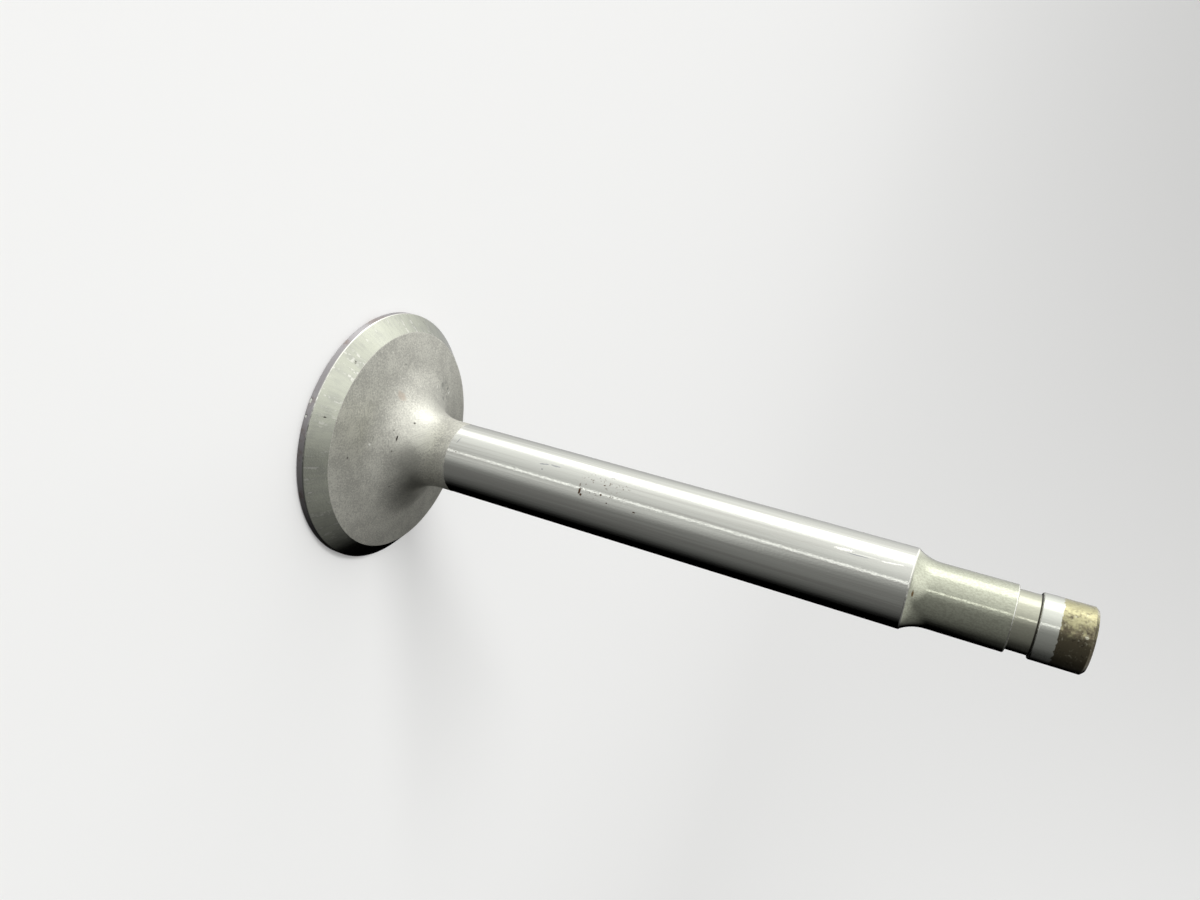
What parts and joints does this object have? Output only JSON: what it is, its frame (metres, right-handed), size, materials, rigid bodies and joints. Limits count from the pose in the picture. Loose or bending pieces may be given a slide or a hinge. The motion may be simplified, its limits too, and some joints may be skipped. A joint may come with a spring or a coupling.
{
  "type": "engine poppet valve",
  "caption": "Poppet valve for a piston engine: round head with a ground conical seat, trumpet neck, ground stem, and a reduced tip end with a keeper groove and a flat tip.",
  "frame": {"origin": "centre of the flat face of the head, on which the valve stands", "axes": "+Z along the stem, from the head to the tip"},
  "size_m": [0.0408, 0.0408, 0.1067],
  "materials": {
    "valve_steel": "ground stem, seat, margin and land; blasted head back; satin turned tip end; brown heat stain on the tip"
  },
  "bodies": {
    "root": {"poppet_valve": "valve_steel"}
  },
  "joints": []
}
